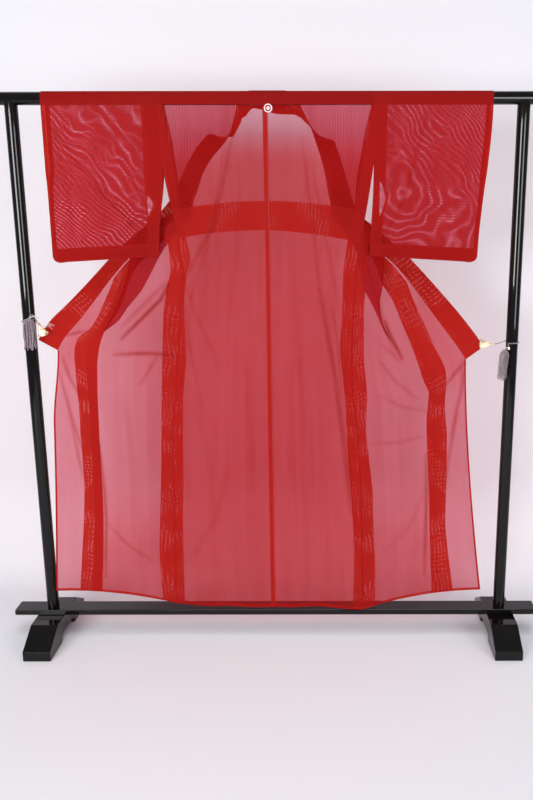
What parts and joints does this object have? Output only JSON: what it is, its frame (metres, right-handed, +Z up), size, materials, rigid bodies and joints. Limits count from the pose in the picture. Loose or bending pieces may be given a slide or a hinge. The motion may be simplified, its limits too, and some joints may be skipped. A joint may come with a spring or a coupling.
{
  "type": "sheer summer kimono on a kimono stand",
  "caption": "Unlined sheer silk kimono hung over the round rail of a lacquered kimono stand, its back spread flat and its fronts drawn open and tied to the posts.",
  "frame": {"origin": "on the floor under the middle of the stand", "axes": "+Z up, X along the rail, the kimono's back faces -Y"},
  "size_m": [1.71, 0.366, 1.7077],
  "materials": {
    "silk_red": "sheer plain weave",
    "lacquer_black": "gloss lacquer",
    "gilt_brass": "polished",
    "cord_mauve": "silk cord and strands"
  },
  "bodies": {
    "root": {"back_left": "silk_red", "back_right": "silk_red", "front_left": "silk_red", "front_right": "silk_red", "okumi_left": "silk_red", "okumi_right": "silk_red", "sleeve_left": "silk_red", "sleeve_right": "silk_red", "collar": "silk_red", "rail": "lacquer_black", "post_left": "lacquer_black", "post_right": "lacquer_black", "foot_left": "lacquer_black", "foot_right": "lacquer_black", "stretcher": "lacquer_black", "clip_left": "gilt_brass", "clip_right": "gilt_brass", "bead_left": "gilt_brass", "bead_right": "gilt_brass", "cord_left": "cord_mauve", "cord_right": "cord_mauve", "tassel_left": "cord_mauve", "tassel_right": "cord_mauve"}
  },
  "joints": []
}
